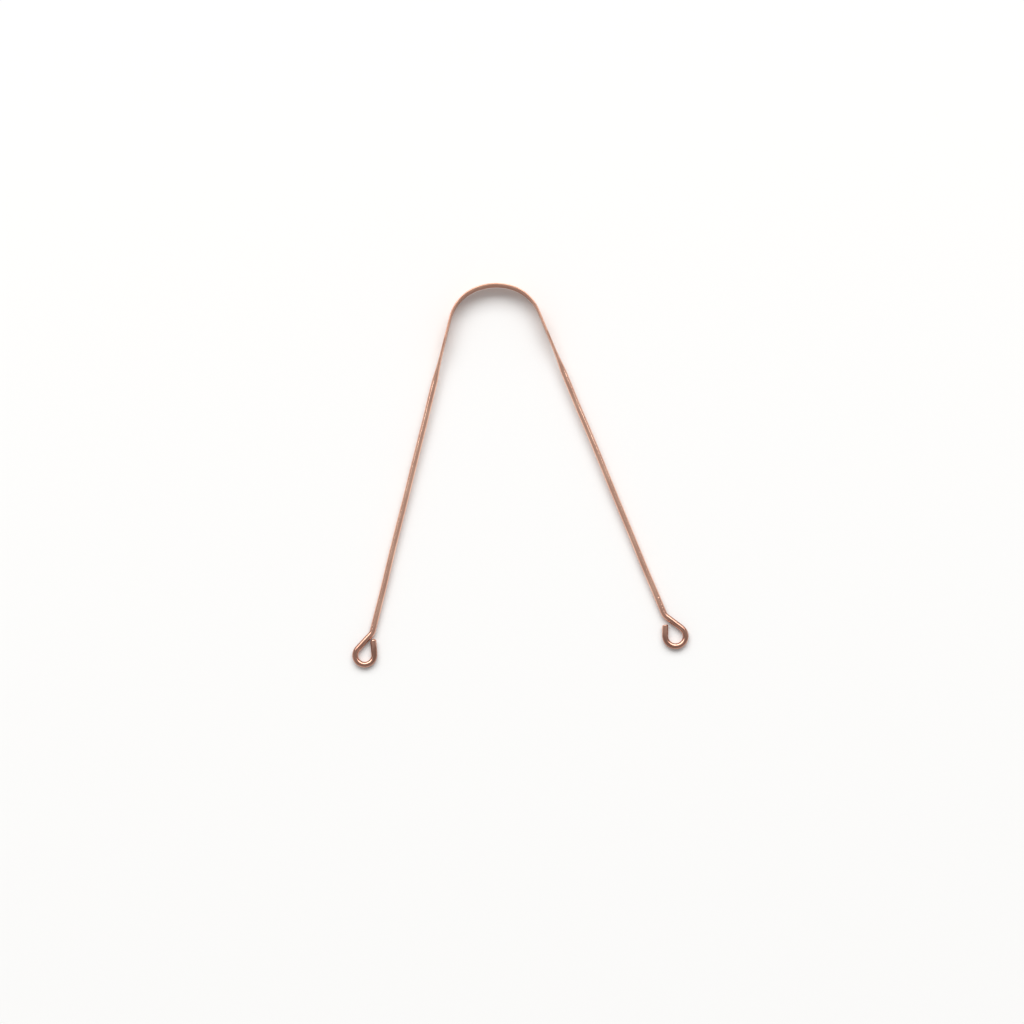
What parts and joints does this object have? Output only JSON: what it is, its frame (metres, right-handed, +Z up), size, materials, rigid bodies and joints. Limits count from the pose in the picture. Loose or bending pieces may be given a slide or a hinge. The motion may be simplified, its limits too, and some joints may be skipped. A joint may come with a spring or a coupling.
{
  "type": "tongue scraper",
  "caption": "Copper wire tongue scraper: a flat band on edge bent into an open arch, with springy round arms that spread to a teardrop finger eye at each end.",
  "frame": {"origin": "middle of the whole tool's outline, level with the lower edge of the scraping band", "axes": "+Y from the eyes to the crown of the arch, +X to the right arm with the crown away from the viewer, +Z up across the band's width"},
  "size_m": [0.1092, 0.1248, 0.0053],
  "materials": {
    "rolled_copper": "bright copper, rolled flat and polished",
    "drawn_copper": "bright copper wire with fine drawing marks"
  },
  "bodies": {
    "band": {"scraping_band": "rolled_copper"},
    "left_arm": {"left_taper": "rolled_copper", "left_shank": "drawn_copper", "left_eye": "drawn_copper"},
    "right_arm": {"right_taper": "rolled_copper", "right_shank": "drawn_copper", "right_eye": "drawn_copper"}
  },
  "joints": [
    {"name": "left_arm_flex", "type": "hinge", "parent": "band", "child": "left_arm", "pos_m": [-0.0106, 0.05607, 0.00265], "axis": [0, 0, 1], "range_deg": [-10, 12], "stiffness_Nm_per_rad": 0.43, "deforming": ["scraping_band"]},
    {"name": "right_arm_flex", "type": "hinge", "parent": "band", "child": "right_arm", "pos_m": [0.01015, 0.05592, 0.00265], "axis": [0, 0, -1], "range_deg": [-10, 12], "stiffness_Nm_per_rad": 0.43, "deforming": ["scraping_band"]}
  ]
}
